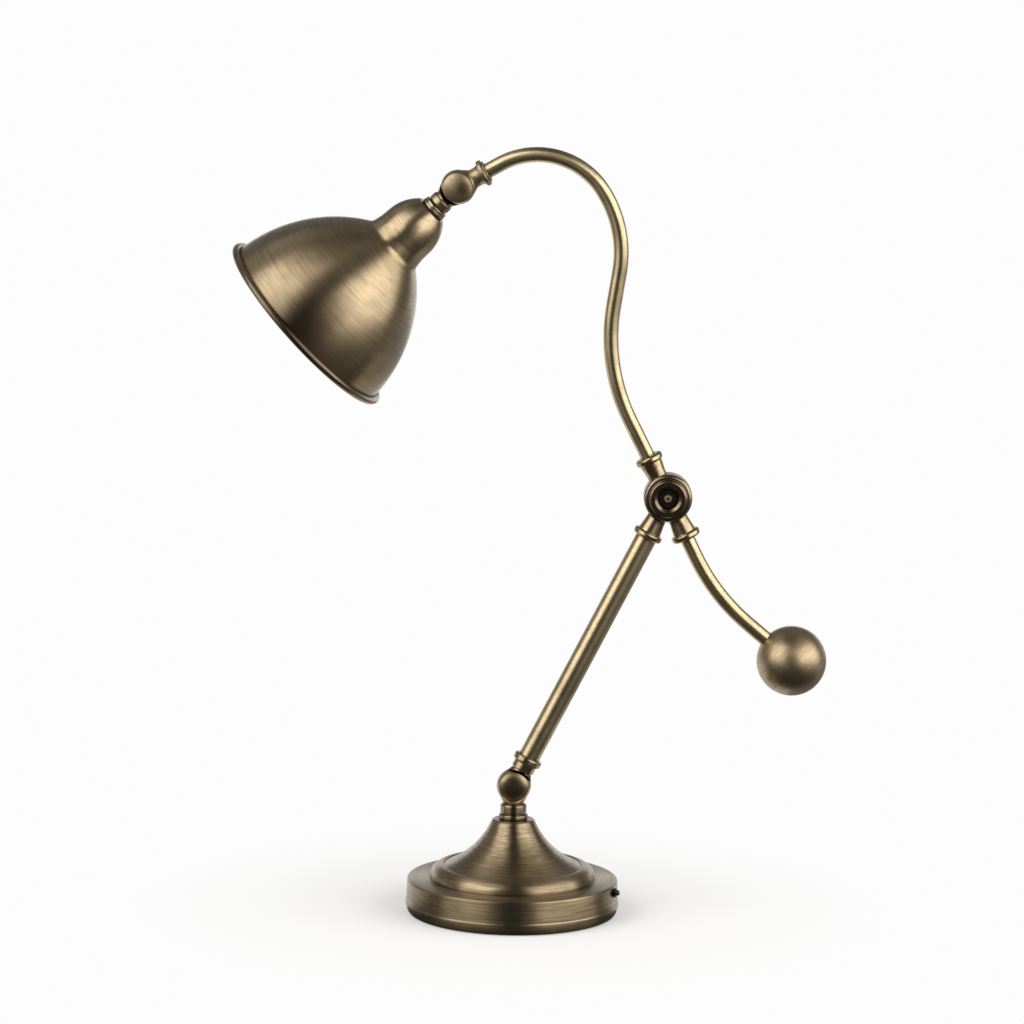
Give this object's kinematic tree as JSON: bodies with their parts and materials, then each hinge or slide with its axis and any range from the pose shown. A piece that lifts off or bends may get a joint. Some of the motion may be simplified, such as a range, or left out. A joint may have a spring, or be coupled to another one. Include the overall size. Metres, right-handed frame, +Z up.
{
  "type": "desk lamp",
  "caption": "Counterbalanced desk lamp: weighted round base, pivoting arm, gooseneck beam with a ball counterweight, and a tilting bell shade.",
  "frame": {"origin": "centre of the felt's flat rest face", "axes": "+Z up; the arm and the beam swing in the XZ plane, with the counterweight towards +X and the shade towards -X; the knuckles' plain faces look along -Y"},
  "size_m": [0.4452, 0.1727, 0.5756],
  "materials": {
    "aged_brass": "antique brass, brushed and darkened",
    "dark_brass": "antique brass, darker patina",
    "plain_brass": "plain turned brass",
    "cast_iron": "rough casting",
    "steel": "zinc plated",
    "black_steel": "black oxide",
    "felt": "dark green felt",
    "fibre": "black vulcanised fibre",
    "black_plastic": "black moulding",
    "cable": "black sheath",
    "bulb_glass": "opal glass"
  },
  "bodies": {
    "base": {"base_shell": "aged_brass", "base_weight": "cast_iron", "base_cover": "steel", "base_felt": "felt", "cover_screws": "steel", "base_nipple": "plain_brass", "base_nut": "steel", "base_washer": "steel", "base_neck": "aged_brass", "base_knuckle": "aged_brass", "base_pivot_screw": "steel", "base_friction_disc": "fibre", "cable_gland": "black_plastic", "terminal_block": "black_plastic", "inlet_lead": "cable", "base_lead": "cable", "switch_wires": "cable", "switch_body": "black_plastic", "switch_tabs": "plain_brass", "switch_bezel": "black_plastic"},
    "button": {"switch_button": "black_plastic"},
    "arm": {"arm_knuckle": "aged_brass", "base_spring_washer": "steel", "arm_collar": "aged_brass", "arm_tube": "aged_brass", "arm_hub": "dark_brass", "arm_lead": "cable"},
    "beam": {"beam_hub": "dark_brass", "gooseneck_tube": "aged_brass", "counter_tube": "aged_brass", "counterweight": "aged_brass", "counter_stud": "plain_brass", "hub_bolt": "aged_brass", "hub_springs": "black_steel", "hub_nut": "black_steel", "hub_friction_disc": "fibre", "beam_knuckle": "aged_brass", "head_pivot_screw": "steel", "head_friction_disc": "fibre", "beam_lead": "cable"},
    "head": {"head_knuckle": "aged_brass", "head_spring_washer": "steel", "shade_collar": "aged_brass", "shade_washer": "fibre", "shade": "aged_brass", "head_nipple": "plain_brass", "head_nut": "steel", "holder_cap": "black_plastic", "holder_body": "black_plastic", "holder_sleeve": "plain_brass", "holder_contact": "plain_brass", "bulb_glass": "bulb_glass", "bulb_cap": "plain_brass", "bulb_contact": "plain_brass", "head_lead": "cable"}
  },
  "joints": [
    {"name": "arm_swing", "type": "hinge", "parent": "base", "child": "arm", "pos_m": [0, 0, 0.0964], "axis": [0, 1, 0], "range_deg": [-35, 23]},
    {"name": "beam_swing", "type": "hinge", "parent": "arm", "child": "beam", "pos_m": [0.11089, 0, 0.31688], "axis": [0, 1, 0], "range_deg": [-30, 5]},
    {"name": "shade_tilt", "type": "hinge", "parent": "beam", "child": "head", "pos_m": [-0.04789, 0.00299, 0.5447], "axis": [0.0699, 0.9969, 0.0356], "range_deg": [-45, 40]},
    {"name": "switch_press", "type": "slide", "parent": "base", "child": "button", "axis": [-0.9613, 0.2756, 0], "range_m": [0, 0.0018], "stiffness_N_per_m": 300}
  ]
}
